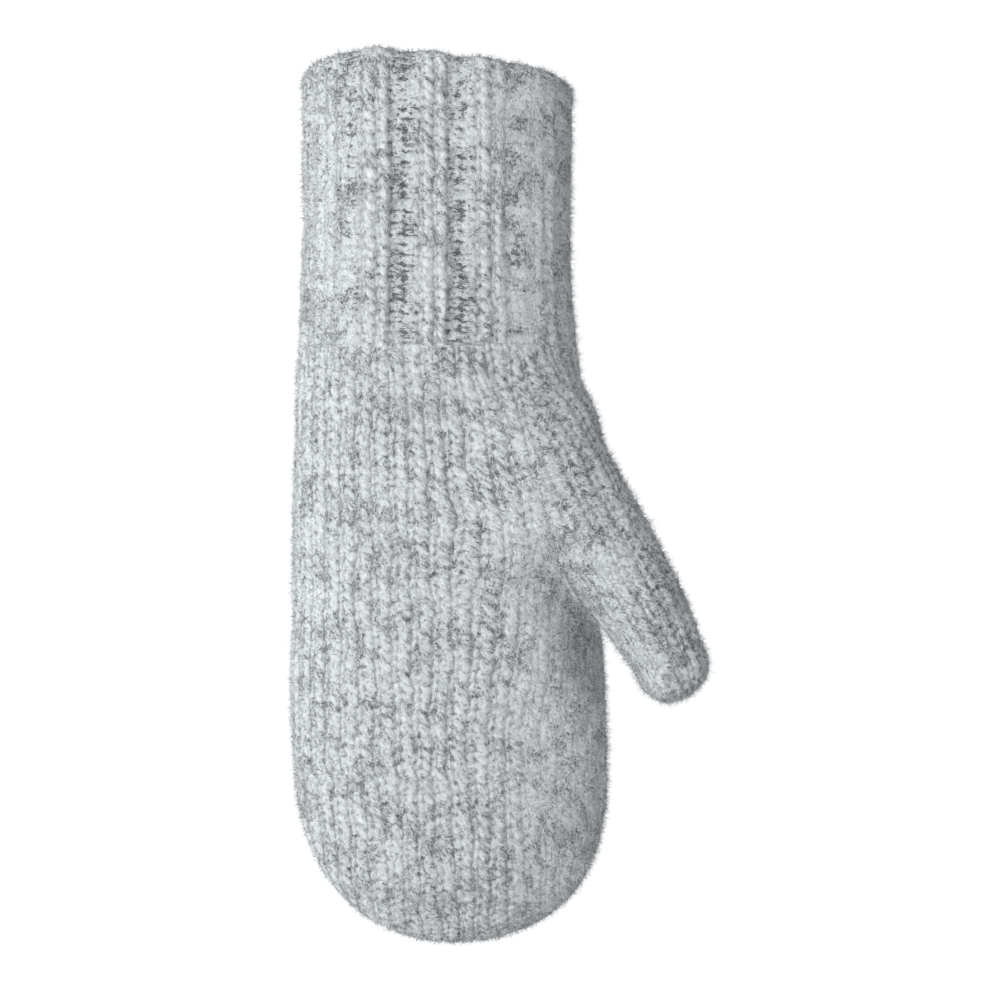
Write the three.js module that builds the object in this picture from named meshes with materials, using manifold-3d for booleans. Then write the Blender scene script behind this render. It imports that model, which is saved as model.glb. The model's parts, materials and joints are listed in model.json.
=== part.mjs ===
// A left-hand mitten of thick felted wool, knitted in the round from the cuff down.
// It lies on its back on a table, palm up, with a hand's volume kept inside it.
// Millimetres. +X points to the thumb side, +Y from the fingertips to the cuff, +Z up out of the palm.
// The origin lies on the table, under the middle of the hand.
import * as THREE from "three";
import { mergeVertices } from "three/addons/utils/BufferGeometryUtils.js";
import Module from "manifold-3d";

const wasm = await Module();
wasm.setup();

// ---- driving dimensions ----
const wall = 4; // thickness of the felted knit
const gap = 0.3; // clearance between two zones of the knit
const restFlat = 2; // how deep the underside is pressed flat by the table
const squareness = 2.3; // 2 is an ellipse, more is boxier

const tipY = -120; // fingertip end
const handY = 67.5; // where the rib ends and the plain knit starts
const mouth = [-4.4, 152.5, 22.6]; // middle of the cuff's mouth
const mouthSlope = -0.093; // the mouth slopes towards the fingers on the thumb side
const mouthLean = 0.2; // the palm side of the cuff is a little longer than the back
const castOnDepth = 4.4; // depth of the cast-on edge along the cuff

const wristBand = [86, 118]; // stretch of the rib that bends at the wrist
const fingerBand = [-67, -27]; // stretch of the finger pouch that bends with the fingers

// Along the hand: [y, middle x, half width, half height].
const handStations = [
  [tipY, 3.0, 49.4, 19],
  [-60, 0.0, 49.4, 23],
  [-12, -1.2, 48.2, 25.4],
  [30, -2.7, 46.0, 25],
  [handY, -4.0, 43.4, 22.6],
  [110, -4.4, 42.4, 23],
  [175, -4.4, 42.8, 24.4],
];
const cuffCut = 172; // the hand's tube is carried this far, past the mouth that is cut out of it
const tipRound = { width: 55, height: 33, power: 2.35 }; // how far from the tip the rounding starts

// Along the thumb, measured from its pivot in the crotch towards the wrist: [y, 0, half width, half height].
const thumbPivot = [60.1, -15.4, 31.5];
const thumbAngle = THREE.MathUtils.degToRad(29); // away from the hand's long axis
const thumbRise = THREE.MathUtils.degToRad(3); // the thumb's tip is a little nearer the palm side
const thumbTipY = -32.5;
const thumbStations = [
  [thumbTipY, 0, 11.2, 11],
  [-18, 0, 11.8, 11.6],
  [0, 0, 14.2, 13.6],
  [32, 0, 16.6, 15.4],
  [60, 0, 17.6, 13.6],
  [86, -3, 13, 8],
];
const gussetTop = 84; // how far up inside the hand the thumb's tube is carried before it is cut to the gusset
const thumbRound = { width: 11, height: 11, power: 2.1 };
const thumbBand = [-5, 6]; // stretch of the thumb that bends where it leaves the hand
const thumbTipStart = -20; // where the thumb's decreases start

const yarnRadius = 1.3; // of a yarn end or a drawn-through yarn on the inside
const yarnClear = 0.5; // and its clearance to the inner wall

// ---- shapes ----

// Smooth curve through the stations, by cubic Hermite segments: [middle x, half width, half height] at y.
function stationAt(stations, y) {
  const last = stations.length - 1;
  let i = 0;
  while (i < last - 1 && y > stations[i + 1][0]) i++;
  const before = stations[Math.max(i - 1, 0)];
  const [from, to] = [stations[i], stations[i + 1]];
  const after = stations[Math.min(i + 2, last)];
  const span = to[0] - from[0];
  const t = THREE.MathUtils.clamp((y - from[0]) / span, 0, 1);
  return [1, 2, 3].map((k) => {
    const startSlope = (to[k] - before[k]) / (to[0] - before[0]);
    const endSlope = (after[k] - from[k]) / (after[0] - from[0]);
    return (
      from[k] * (2 * t ** 3 - 3 * t ** 2 + 1) +
      to[k] * (3 * t ** 2 - 2 * t ** 3) +
      startSlope * span * (t ** 3 - 2 * t ** 2 + t) +
      endSlope * span * (t ** 3 - t ** 2)
    );
  });
}

// 1 along the tube and down to 0 at its rounded end.
function rounding(y, endY, length, power) {
  const t = THREE.MathUtils.clamp((endY + length - y) / length, 0, 1);
  return (1 - t ** power) ** (1 / power);
}

// A closed tube with one rounded end: a lathed unit cylinder, each ring reshaped to its station.
// inset shrinks it on all sides, and floor presses its underside flat at that height.
function tube({ stations, round, endY, openY, inset, floor, middleZ, around, rings }) {
  const tip = endY + inset;
  const profile = [new THREE.Vector2(0, tip)];
  for (let i = 1; i <= rings; i++) {
    const eased = (i / rings) ** 1.6; // closer rings where the end curves most
    profile.push(new THREE.Vector2(1, tip + eased * (openY - tip)));
  }
  profile.push(new THREE.Vector2(0, openY));
  const geometry = new THREE.LatheGeometry(profile, around);
  const place = geometry.getAttribute("position");
  for (let i = 0; i < place.count; i++) {
    const [x, y, z] = [place.getX(i), place.getY(i), place.getZ(i)];
    const radius = Math.hypot(x, z);
    const [middleX, halfWidth, halfHeight] = stationAt(stations, y);
    const widthNow = (halfWidth - inset) * rounding(y, tip, round.width - inset, round.power);
    const heightNow = (halfHeight - inset) * rounding(y, tip, round.height - inset, round.power);
    const boxy = (v) => Math.sign(v) * Math.abs(v) ** (2 / squareness);
    const up = middleZ(halfHeight) + heightNow * (radius > 0.5 ? boxy(z / radius) : 0);
    place.setXYZ(i, middleX + widthNow * (radius > 0.5 ? boxy(x / radius) : 0), y, Math.max(up, floor));
  }
  return geometry;
}

function handTube(inset) {
  return tube({
    stations: handStations,
    round: tipRound,
    endY: tipY,
    openY: cuffCut + inset, // the hollow runs out past the end of the solid
    inset,
    floor: inset,
    middleZ: (halfHeight) => halfHeight - restFlat,
    around: 32,
    rings: 24,
  });
}

const thumbPlace = new THREE.Matrix4()
  .makeTranslation(...thumbPivot)
  .multiply(new THREE.Matrix4().makeRotationZ(thumbAngle))
  .multiply(new THREE.Matrix4().makeRotationX(-thumbRise));

function thumbTube(inset) {
  return tube({
    stations: thumbStations,
    round: thumbRound,
    endY: thumbTipY,
    openY: gussetTop - inset,
    inset,
    floor: -Infinity,
    middleZ: () => 0,
    around: 20,
    rings: 16,
  }).applyMatrix4(thumbPlace);
}

// ---- solids ----

// A closed geometry as a manifold-3d solid: doubled points are merged and empty triangles left out.
function solid(geometry) {
  const bare = geometry.clone();
  bare.deleteAttribute("normal");
  bare.deleteAttribute("uv");
  const merged = mergeVertices(bare, 1e-4);
  const corners = merged.index.array;
  const kept = [];
  for (let i = 0; i < corners.length; i += 3) {
    const [a, b, c] = corners.slice(i, i + 3);
    if (a === b || b === c || c === a) continue;
    kept.push(a, b, c);
  }
  const shape = {
    numProp: 3,
    vertProperties: merged.attributes.position.array,
    triVerts: new Uint32Array(kept),
  };
  return new wasm.Manifold(new wasm.Mesh(shape));
}

// A big block between two heights of a local y axis, placed by a matrix, to cut a zone out of the knit.
function slab(fromY, toY, place = new THREE.Matrix4()) {
  const reach = 500;
  const block = new THREE.BoxGeometry(reach, toY - fromY, reach);
  block.translate(0, (fromY + toY) / 2, 0);
  return solid(block.applyMatrix4(place));
}

// The plane of the cuff's mouth, as a placed y axis.
const mouthPlace = new THREE.Matrix4()
  .makeTranslation(...mouth)
  .multiply(new THREE.Matrix4().makeRotationZ(Math.atan(mouthSlope)))
  .multiply(new THREE.Matrix4().makeRotationX(-Math.atan(mouthLean)));

const far = 400;
const half = gap / 2;
const hand = solid(handTube(0));
const handPlusGap = solid(handTube(-gap));
const thumb = solid(thumbTube(0));
const hollow = solid(handTube(wall)).add(solid(thumbTube(wall)));
const belowMouth = slab(-far, 0, mouthPlace);
const knit = hand.add(thumb).subtract(hollow).intersect(belowMouth);

const handKnit = knit.intersect(hand);
const thumbKnit = knit.intersect(thumb).subtract(handPlusGap);

const aboveCastOn = slab(-castOnDepth + half, far, mouthPlace);
const belowCastOn = slab(-far, -castOnDepth - half, mouthPlace);

const zones = {
  cast_on_edge: handKnit.intersect(aboveCastOn),
  ribbed_cuff: handKnit.intersect(belowCastOn).intersect(slab(wristBand[1] + half, far)),
  wrist_rib: handKnit.intersect(slab(wristBand[0] + half, wristBand[1] - half)),
  rib_end: handKnit.intersect(slab(handY + half, wristBand[0] - half)),
  hand_shell: handKnit.intersect(slab(fingerBand[1] + half, handY - half)),
  finger_pouch: handKnit.intersect(slab(fingerBand[0] + half, fingerBand[1] - half)),
  finger_tip: handKnit.intersect(slab(-far, fingerBand[0] - half)),
  thumb_gusset: thumbKnit.intersect(slab(thumbBand[1] + half, far, thumbPlace)),
  thumb_root: thumbKnit.intersect(slab(thumbBand[0] + half, thumbBand[1] - half, thumbPlace)),
  thumb_tube: thumbKnit.intersect(slab(thumbTipStart + half, thumbBand[0] - half, thumbPlace)),
  thumb_tip: thumbKnit.intersect(slab(-far, thumbTipStart - half, thumbPlace)),
};

// ---- yarn ends ----

// A woven-in end: a yarn that runs along y on the inner wall and swings from side to side between stitches.
function wovenEnd({ fromY, toY, x, z, swing, turns }) {
  const bends = turns * 2;
  const points = [];
  for (let i = 0; i <= bends; i++) {
    const side = i % 2 === 0 ? -swing : swing;
    points.push(new THREE.Vector3(x + side, THREE.MathUtils.lerp(fromY, toY, i / bends), z));
  }
  const section = new THREE.Shape().absarc(0, 0, yarnRadius, 0, 2 * Math.PI);
  return new THREE.ExtrudeGeometry(section, {
    extrudePath: new THREE.CatmullRomCurve3(points),
    steps: 24,
    curveSegments: 4,
  });
}

// The yarn drawn through the last stitches and pulled tight: a small ring inside a rounded end.
function drawnLoop({ radius, middle }) {
  const ring = new THREE.TorusGeometry(radius, yarnRadius, 6, 16);
  return ring.rotateX(Math.PI / 2).translate(...middle);
}

const innerFloor = wall + yarnRadius + yarnClear;
const tipLoop = { radius: 4.2, middle: [3, tipY + wall + 3.2, 17] };
const thumbLoop = { radius: 2.7, middle: [0, thumbTipY + wall + 2.6, 0] };
const loops = {
  tip_drawn_loop: drawnLoop(tipLoop),
  thumb_drawn_loop: drawnLoop(thumbLoop).applyMatrix4(thumbPlace),
};
const ends = {
  cuff_yarn_end: wovenEnd({ fromY: 142, toY: 126, x: -14, z: innerFloor, swing: 2.2, turns: 2 }),
  tip_yarn_end: wovenEnd({ fromY: -76, toY: -98, x: 4, z: innerFloor, swing: 2.2, turns: 3 }),
  thumb_yarn_end: wovenEnd({ fromY: -8, toY: -19, x: 0, z: -5.2, swing: 1.2, turns: 2 }).applyMatrix4(
    thumbPlace,
  ),
};

// ---- the object ----

const wool = { color: 0xbcc2c5, roughness: 1, metalness: 0 };
const plainKnit = new THREE.MeshStandardMaterial({ ...wool, name: "felted_knit" });
const ribKnit = new THREE.MeshStandardMaterial({ ...wool, color: 0xb6bcbf, name: "rib_knit" });
const yarn = new THREE.MeshStandardMaterial({ ...wool, color: 0xc3c9cc, name: "yarn" });
const ribbed = new Set(["ribbed_cuff", "wrist_rib", "rib_end"]);

function geometryOf(made) {
  const mesh = made.getMesh();
  const place = new Float32Array(mesh.numVert * 3);
  for (let i = 0; i < mesh.numVert; i++) {
    place.set(mesh.vertProperties.subarray(i * mesh.numProp, i * mesh.numProp + 3), i * 3);
  }
  const geometry = new THREE.BufferGeometry();
  geometry.setAttribute("position", new THREE.BufferAttribute(place, 3));
  geometry.setIndex(new THREE.BufferAttribute(mesh.triVerts, 1));
  geometry.computeVertexNormals();
  return geometry;
}

function materialOf(name) {
  if (name === "cast_on_edge") return yarn;
  return ribbed.has(name) ? ribKnit : plainKnit;
}

const mitten = new THREE.Group();
for (const [name, made] of Object.entries(zones)) {
  const mesh = new THREE.Mesh(geometryOf(made), materialOf(name));
  mesh.name = name;
  mitten.add(mesh);
}
for (const [name, geometry] of Object.entries({ ...loops, ...ends })) {
  const mesh = new THREE.Mesh(geometry, yarn);
  mesh.name = name;
  mitten.add(mesh);
}

export default mitten;
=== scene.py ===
# A left-hand mitten of thick felted wool, lying palm up: 2 by 2 rib cuff, plain knit hand, gusset and thumb.
# Each stretch of cloth is a tube worked out on a grid of points, with the relief of its stitches and a fuzz
# of loose fibres on it. Lengths are in metres.
import json
import math

import bpy
import numpy as np
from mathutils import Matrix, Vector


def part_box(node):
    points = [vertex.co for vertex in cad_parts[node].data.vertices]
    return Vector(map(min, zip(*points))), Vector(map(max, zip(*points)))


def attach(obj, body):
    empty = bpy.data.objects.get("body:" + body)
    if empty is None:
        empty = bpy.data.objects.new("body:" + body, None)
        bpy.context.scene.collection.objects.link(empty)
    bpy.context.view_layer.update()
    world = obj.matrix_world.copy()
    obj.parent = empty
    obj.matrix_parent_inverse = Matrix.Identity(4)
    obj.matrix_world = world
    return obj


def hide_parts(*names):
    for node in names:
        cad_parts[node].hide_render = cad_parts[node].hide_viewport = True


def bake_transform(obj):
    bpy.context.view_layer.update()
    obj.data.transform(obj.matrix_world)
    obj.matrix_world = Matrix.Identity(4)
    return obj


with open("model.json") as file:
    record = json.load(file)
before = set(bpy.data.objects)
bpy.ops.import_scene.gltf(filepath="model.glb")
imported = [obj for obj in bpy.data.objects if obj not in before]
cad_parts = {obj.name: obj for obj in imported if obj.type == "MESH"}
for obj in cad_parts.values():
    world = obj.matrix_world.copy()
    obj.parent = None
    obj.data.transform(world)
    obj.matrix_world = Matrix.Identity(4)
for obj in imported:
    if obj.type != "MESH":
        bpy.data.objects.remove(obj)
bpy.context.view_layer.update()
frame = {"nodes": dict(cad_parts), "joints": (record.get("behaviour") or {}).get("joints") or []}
joints = {joint["name"]: joint for joint in frame["joints"]}
print("frame loaded:", len(frame["nodes"]), "nodes")

# the body of the mitten, from the mouth of the cuff down to the fingertips
body = {
    # y, middle x, half width, half height
    "stations": [
        (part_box("finger_tip")[0].y, 0.0028, 0.0482, 0.0190),
        (-0.060, 0.0000, 0.0494, 0.0230),
        (-0.012, -0.0012, 0.0482, 0.0254),
        (0.030, -0.0027, 0.0460, 0.0250),
        (0.0675, -0.0040, 0.0434, 0.0226),
        (0.110, -0.0040, 0.0420, 0.0230),
        (0.175, -0.0040, 0.0424, 0.0244),
    ],
    "squareness": 2.3,  # 2 is an ellipse, more is boxier
    "roundWidth": 0.057,  # how far from the tip the rounding starts, across the hand
    "roundHeight": 0.033,  # and through it
    "roundPower": 2.35,
    "lift": -0.002,  # the table presses the underside flat this far up
    "wall": 0.004,
    "mouth": (-0.0044, 0.1510, 0.0226),
    "mouthSlope": -0.093,  # the mouth slopes towards the fingers on the thumb side
    "mouthLean": 0.20,  # and the palm side is longer than the back
    "mouthDrop": 0.0040,  # and its outer corner rounds down
    "dropAcross": (0.022, 0.052),  # from here to here
    "mouthEase": 1.5,  # how late along the cuff the rows start to tilt
    "handTop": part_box("hand_shell")[1].y,  # the rib ends here
    "columns": 432,
    "rowStep": 0.00052,
    "tipFlat": (0.001, 0.005),  # within this of the tip the shading of the stitches fades out
    "innerTipRows": 12,  # rows of the inner side that are spread evenly over its tip
}

thumb = {
    # the same, along the thumb from its pivot towards the wrist
    "stations": [
        (-0.0306, -0.0009, 0.0109, 0.0106),
        (-0.018, -0.0005, 0.0114, 0.0114),
        (0.000, -0.0002, 0.0133, 0.0134),
        (0.032, -0.0016, 0.0156, 0.0150),
        (0.060, -0.0016, 0.0160, 0.0132),
        (0.086, -0.0035, 0.0122, 0.0080),
    ],
    "squareness": 2.3,
    "roundWidth": 0.011,
    "roundHeight": 0.011,
    "roundPower": 2.1,
    "lift": None,
    "wall": 0.004,
    "pivot": np.array(joints["thumb_swing"]["pos_m"]) + (0, 0, 0.002),  # along the joint's own axis
    "angle": math.radians(29),  # away from the hand's long axis
    "rise": math.radians(3),  # the tip is a little nearer the palm side
    "top": 0.080,
    "stitches": 16,
    "columns": 176,
    "rowStep": 0.0005,
    "tipFlat": (0.001, 0.004),
    "innerTipRows": 5,
    "bends": (0.002, -0.015),  # where along the thumb it starts to follow the joint, and where fully
}

join = {
    # fillet where the thumb leaves the hand: distances along the thumb, and how wide it is at each
    "fillet": (
        (-0.006, 0.004, 0.014, 0.024, 0.036, 0.050, 0.064, 0.080),
        (0.001, 0.003, 0.007, 0.013, 0.020, 0.024, 0.020, 0.010),
    ),
    "leastFillet": 0.001,
    "outerLess": 0.8,  # the share by which it is narrower on the thumb's outer side
    "outerSide": (-0.002, 0.014),
    "wristMore": 0.7,  # which is less so towards the wrist
    "wristSide": (0.045, 0.065),
    # distances to the other tube
    "near": (-0.005, 0.024),  # what is moved onto the join
    "shown": (-0.0042, -0.0020),  # from hidden to seen
    "tucks": ((0.0005, 0.0000, 0.0014), (0.0016, 0.0018, 0.0042)),  # how far the hidden part goes in, where
    "hidden": -0.0045,  # deeper than this, the cloth is left out
    "reliefLeft": 0.35,  # the share of the stitches' relief that is left at the corner
    "reliefFades": (-0.0002, 0.0025),
    "shading": (0.85, 0.0028, 0.008),  # how much the shading is shared, how far, and the limit
    "leastAgreed": 0.2,
    "steps": 8,
    "longestStep": 0.0012,
    "leastSlope": 0.08,
}

palmDip = {
    # the palm dips beside the thumb: places are measured from the thumb's pivot
    "depth": 0.0052,
    "starts": (-0.022, 0.000),  # along the thumb
    "ends": (0.014, 0.040),
    "middle": -0.013,  # across it
    "width": (0.013, 0.010),  # towards the palm, and towards the thumb
    "height": (0.022, 0.034),  # none below, all above
}

cell = (6, 4)  # rows and columns of the outer grid to one cell of the inner one
overTable = 0.0001  # the lowest the cloth comes


def smooth(x, low, high):
    # 0 below low and 1 above high, with an eased step between
    t = np.clip((x - low) / (high - low), 0, 1)
    return t * t * (3 - 2 * t)


def unit(vectors):
    return vectors / np.maximum(np.linalg.norm(vectors, axis=-1, keepdims=True), 1e-12)


def lumps(points, size, seed, waves=9):
    # soft noise from -1 to 1: a sum of sine waves in random directions, each about size long
    rng = np.random.default_rng(seed)
    total = 0
    for _ in range(waves):
        wave = rng.normal(size=3)
        wave *= 2 * math.pi / (size * rng.uniform(0.7, 1.6)) / np.linalg.norm(wave)
        total = total + np.sin(points @ wave + rng.uniform(0, 2 * math.pi))
    return total / (waves / 2)


def chance(i, j, seed):
    # a fixed random number from 0 to 1 for each stitch
    value = np.sin(i * 127.1 + j * 311.7 + seed * 74.7) * 43758.5453
    return value - np.floor(value)


def alongStations(stations, y):
    # smooth curve through the stations, by cubic Hermite segments
    table = np.array(stations)
    last = len(table) - 1
    i = np.clip(np.searchsorted(table[:, 0], y) - 1, 0, last - 1)
    before, start = table[np.maximum(i - 1, 0)], table[i]
    end, after = table[i + 1], table[np.minimum(i + 2, last)]
    span = (end - start)[..., :1]
    t = np.clip((np.asarray(y)[..., None] - start[..., :1]) / span, 0, 1)
    startSlope = (end - before) / (end - before)[..., :1]
    endSlope = (after - start) / (after - start)[..., :1]
    value = (
        start * (2 * t**3 - 3 * t**2 + 1)
        + end * (3 * t**2 - 2 * t**3)
        + startSlope * span * (t**3 - 2 * t**2 + t)
        + endSlope * span * (t**3 - t**2)
    )
    return value[..., 1], value[..., 2], value[..., 3]


def section(shape, y, inset):
    # middle x, middle z, half width and half height of the tube at y, with its rounded end
    tipY = shape["stations"][0][0] + inset
    middleX, halfWidth, halfHeight = alongStations(shape["stations"], y)
    middleZ = 0 * y if shape["lift"] is None else halfHeight + shape["lift"]
    sizes = []
    for full, length in ((halfWidth, shape["roundWidth"]), (halfHeight, shape["roundHeight"])):
        t = np.clip((tipY + length - inset - y) / (length - inset), 0, 1)
        sizes.append((full - inset) * (1 - t ** shape["roundPower"]) ** (1 / shape["roundPower"]))
    return middleX, middleZ, sizes[0], sizes[1]


def evenRows(shape, openY, fine=20001, tipHole=0.0004):
    # heights of the rows, evenly spaced along the cloth from the open end to the tip, and the way to each
    tipY = shape["stations"][0][0]
    y = tipY + (openY - tipY) * np.linspace(0, 1, fine) ** 2
    _, _, width, height = section(shape, y, 0)
    length = np.sqrt(np.diff(y) ** 2 + 0.5 * np.diff(width) ** 2 + 0.5 * np.diff(height) ** 2)
    travelled = np.concatenate([[0], np.cumsum(length)])
    count = int(travelled[-1] / shape["rowStep"] / cell[0]) * cell[0] + 1
    wanted = np.linspace(travelled[-1], tipHole, count)
    return np.interp(wanted, travelled, y), travelled[-1] - wanted


def innerRows(shape, y):
    # one row for each cell, none past the tip of the inner side, and the last ones spread evenly
    tip = shape["innerTipRows"]
    y = np.maximum(y[:: cell[0]], shape["stations"][0][0] + shape["wall"] + 0.0003)
    y[-tip:] = np.linspace(y[-tip], y[-1], tip)
    return y


def tube(shape, y, columns, inset, fine=7201):
    # points of the tube: a superellipse round each row, with even columns from the middle of the back round
    turn = np.linspace(0, 2 * math.pi, fine)
    power = 2 / shape["squareness"]
    x = -np.sign(np.sin(turn)) * np.abs(np.sin(turn)) ** power
    z = -np.sign(np.cos(turn)) * np.abs(np.cos(turn)) ** power
    _, _, fullWidth, fullHeight = section(shape, np.array([shape["stations"][3][0]]), inset)
    gone = np.concatenate([[0], np.cumsum(np.hypot(np.diff(x) * fullWidth, np.diff(z) * fullHeight))])
    at = np.interp(np.arange(columns) / columns * gone[-1], gone, turn)
    x, z = np.interp(at, turn, x), np.interp(at, turn, z)
    middleX, middleZ, width, height = section(shape, y, inset)
    points = np.empty((len(y), columns, 3))
    points[..., 0] = middleX[:, None] + width[:, None] * x
    points[..., 1] = y[:, None]
    points[..., 2] = middleZ[:, None] + height[:, None] * z
    return points


def bodyTube(y, columns, inset):
    # the hand's tube, pressed flat by the table, with its rows tilted to the slope of the mouth
    points = tube(body, y, columns, inset)
    mouthX, mouthY, mouthZ = body["mouth"]
    tilt = body["mouthSlope"] * (points[..., 0] - mouthX) + body["mouthLean"] * (points[..., 2] - mouthZ)
    tilt = tilt - body["mouthDrop"] * smooth(-points[..., 0], *body["dropAcross"])
    share = np.clip((points[..., 1] - body["handTop"]) / (mouthY - body["handTop"]), 0, 1)
    points[..., 2] = np.maximum(points[..., 2], inset)
    points[..., 1] += tilt * share ** body["mouthEase"]
    return points


def turnMatrix(about, angle):
    c, s = math.cos(angle), math.sin(angle)
    rows = {"z": [[c, -s, 0], [s, c, 0], [0, 0, 1]], "x": [[1, 0, 0], [0, c, -s], [0, s, c]]}
    return np.array(rows[about])


thumb["turn"] = turnMatrix("z", thumb["angle"]) @ turnMatrix("x", -thumb["rise"])


def fromThumb(points):
    return points @ thumb["turn"].T + thumb["pivot"]


def toThumb(points):
    return (points - thumb["pivot"]) @ thumb["turn"]


def distance(shape, points):
    # roughly how far outside the tube a point lies: its radius less the tube's radius that way
    middleX, middleZ, width, height = section(shape, points[..., 1], 0)
    x, z = points[..., 0] - middleX, points[..., 2] - middleZ
    power = shape["squareness"]
    across, through = np.abs(x / np.maximum(width, 1e-4)), np.abs(z / np.maximum(height, 1e-4))
    ratio = (across**power + through**power) ** (1 / power)
    return np.hypot(x, z) * (1 - 1 / np.maximum(ratio, 1e-6))


def hollow(points):
    # depth of the dip in the palm along the thumb's inner side: a bell across, eased steps the other ways
    local = toThumb(points)
    across, along = local[..., 0] - palmDip["middle"], local[..., 1]
    steps = smooth(along, *palmDip["starts"]) * (1 - smooth(along, *palmDip["ends"]))
    bell = np.exp(-((across / np.where(across < 0, *palmDip["width"])) ** 2))
    return palmDip["depth"] * steps * bell * smooth(points[..., 2], *palmDip["height"])


def bodyDistance(points):
    return distance(body, points) + hollow(points)


def joined(points):
    # distance outside hand and thumb together, with the corner between them filled by a smooth minimum
    local = toThumb(points)
    towardsWrist = 1 - join["wristMore"] * smooth(local[..., 1], *join["wristSide"])
    outer = smooth(local[..., 0], *join["outerSide"]) * towardsWrist
    k = np.interp(local[..., 1], *join["fillet"]) * (1 - join["outerLess"] * outer) + join["leastFillet"]
    a, b = bodyDistance(points), distance(thumb, local)
    return np.minimum(a, b) - np.maximum(k - np.abs(a - b), 0) ** 2 / (4 * k)


def slopeOfJoin(points, step=2e-4):
    ways = [joined(points + step * way) - joined(points - step * way) for way in np.eye(3)]
    return np.stack(ways, -1) / (2 * step)


def ontoJoin(points):
    # moves points along the slope of joined() to where it is zero, in short steps because it is steep
    for _ in range(join["steps"]):
        slope = slopeOfJoin(points)
        steepness = np.maximum((slope**2).sum(-1, keepdims=True), join["leastSlope"])
        move = joined(points)[..., None] * slope / steepness
        length = np.linalg.norm(move, axis=-1, keepdims=True)
        points = points - move * np.minimum(1, join["longestStep"] / np.maximum(length, 1e-9))
    return points


def normalsOf(points):
    # outward normals of a tube's grid
    across = np.roll(points, -1, 1) - np.roll(points, 1, 1)
    return unit(np.cross(np.gradient(points, axis=0), across))


def softNormals(cloth, other):
    # normals of the finished surface; where the two tubes cross they turn to the join's own slope, so both
    # shade as one
    most, width, limit = join["shading"]
    normals = normalsOf(cloth)
    near = np.abs(other) < limit
    slope = unit(slopeOfJoin(cloth[near]))
    agreed = (slope * normals[near]).sum(-1, keepdims=True) > join["leastAgreed"]
    share = most * np.exp(-((other[near] / width) ** 2))[:, None] * agreed
    normals[near] = normals[near] * (1 - share) + slope * share
    return unit(normals)


def meet(points, other):
    # fits one tube to the join with the other, whose distance is given: the hidden part is tucked in under it
    low, high = join["near"]
    near = (other > low) & (other < high)
    fitted = points.copy()
    fitted[near] = ontoJoin(points[near])
    fitted = points + (fitted - points) * smooth(other, *join["shown"])[..., None]
    tucked = sum(depth * smooth(-other, start, end) for depth, start, end in join["tucks"])
    return fitted - normalsOf(fitted) * tucked[..., None]


def reliefAt(other):
    # how much of the stitches' relief is left near the other tube
    return join["reliefLeft"] + (1 - join["reliefLeft"]) * smooth(other, *join["reliefFades"])


# the stitches
knit = {
    "stitches": 44,  # round the hand
    "stitchWidth": 0.0056,
    "rowHeight": 0.0035,
    "depth": 0.00098,
    "lean": (-0.20, 0.74),  # slant of the left and the right leg of each stitch
    "legLength": (0.0022, 0.0028),  # half a leg
    "legWidth": (0.00110, 0.00165),
    "legHeight": (0.66, 1.0),
    "wander": ((0.17, 0.015, 41), (0.42, 0.020, 42)),  # in stitches round and in rows along; lump size; seed
    "tipZone": -0.066,  # nearer the tip, the columns keep their width
}

rib = {
    "stitches": 48,
    "stitchWidth": 0.0045,
    "rowHeight": 0.0032,
    "depth": 0.00170,
    "lean": (-0.10, 0.72),
    "legLength": (0.0021, 0.0026),
    "legWidth": (0.00090, 0.00175),
    "legHeight": (0.60, 1.0),
    "wander": 0.6,  # of what the hand's stitches wander
    "phase": -0.24,  # the middle of a knit rib, in stitches from the middle of the palm
    "ridgeEdge": (0.86, 1.50),  # stitches from the middle of a knit rib to the foot of its side
    "ragged": (0.16, 0.007, 44),  # how far that edge wavers, in stitches; lump size; seed
    "sunk": 0.0002,
    "recess": 0.0014,  # how deep the purl stitches lie
    "bumpDepth": 0.0010,
    "ends": 0.003,  # half the stretch over which it turns into plain knit
    "purlShows": (0.15, 0.55),  # down the side of a knit rib, where the purl's colouring takes over
}

leg = {
    "apart": 0.50,  # of a stitch, between the two legs
    "middle": 0.56,
    "drift": 0.08,
    "width": (0.84, 0.32),  # the least, and how much more a leg can have
    "height": (0.78, 0.36),
    "tuck": 0.25,  # how much lower the lower end is
}

purl = {
    "drift": 0.2,
    "slope": 0.16,
    "arch": 80,  # every other arc bends up, and the ones between bend down
    "halfWidth": 0.0030,
    "halfHeight": 0.00085,
    "height": (0.75, 0.4),
    # how deep purl counts in the painted crease shade: lower, so its recesses are painted darker
    "shade": 0.8,
}

gusset = {
    "shift": 0.0105,  # how far the wales beside it are carried towards the thumb
    "across": (-0.016, 0.032),  # across the hand, where that starts and where it is most
    "runs": (-0.052, 0.004, 0.016, 0.0675),  # along the hand, from where the shift ends up to where it starts
    "turn": 1.6,  # how quickly it changes over from the palm to the back
}

felting = {
    # how far the wool is closed, from 0 to 1, and between which places it comes up to that
    "thumbSide": (0.92, 0.012, 0.036),
    "drawnBack": (0.024, 0.000, 0.024),  # above the thumb it starts this much further out
    "outerSide": (0.5, 0.044, 0.050),
    "cuffThumbSide": (0.88, 0.010, 0.020),
    "cuffOuterSide": (0.80, 0.024, 0.034),
    "palmSide": (0.6, 0.012, 0.026),
    "besideThumb": (0.95, -0.045, -0.012),  # along the thumb
    "besideEnds": (1.0, 0.012, 0.030),
    "besideWidth": 0.015,
    "back": (0.30, -0.014, -0.002),
    "cuff": (1.0, -0.012, 0.010),  # from the end of the rib
    "patches": (0.030, 11),  # size and seed
    "patchy": (0.80, 0.30, 0.32),
    "most": 0.97,
}

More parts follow.
